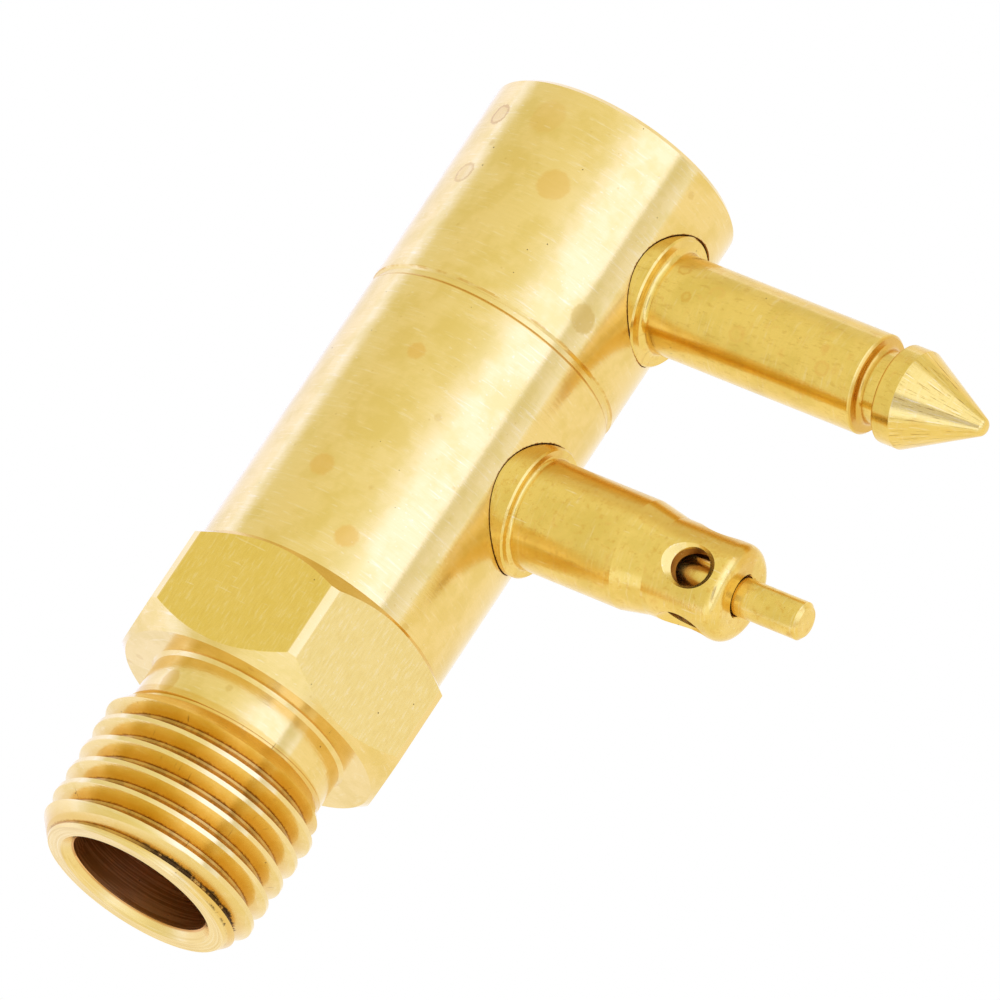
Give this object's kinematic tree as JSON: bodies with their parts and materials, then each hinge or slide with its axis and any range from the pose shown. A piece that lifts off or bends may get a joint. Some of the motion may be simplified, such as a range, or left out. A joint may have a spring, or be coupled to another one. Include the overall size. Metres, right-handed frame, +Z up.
{
  "type": "fuel tank hose connector",
  "caption": "Brass two-prong male fuel tank connector: taper thread, hexagon, locating pin and a spring-valved nipple.",
  "frame": {"origin": "centre of the pipe thread's lower end face, on the body axis", "axes": "+Z up the body axis to its closed top, +X along both prongs towards the mating socket, +Y to complete a right-handed frame"},
  "size_m": [0.037, 0.0158, 0.0499],
  "materials": {
    "brass": "turned brass, satin with fine tool rings",
    "brass_pin": "turned brass, bright",
    "seal_rubber": "matte nitrile rubber",
    "spring_steel": "drawn stainless wire"
  },
  "bodies": {
    "fitting": {"body": "brass", "locating_pin": "brass_pin", "valve_nipple": "brass_pin", "spring_retainer": "brass_pin", "valve_spring": "spring_steel"},
    "valve": {"valve_pin": "brass_pin", "valve_seal": "seal_rubber"}
  },
  "joints": [
    {"name": "valve_push", "type": "slide", "parent": "fitting", "child": "valve", "axis": [-1, 0, 0], "range_m": [0, 0.0024], "stiffness_N_per_m": 400, "springref_m": -0.001, "deforming": ["valve_spring"]}
  ]
}
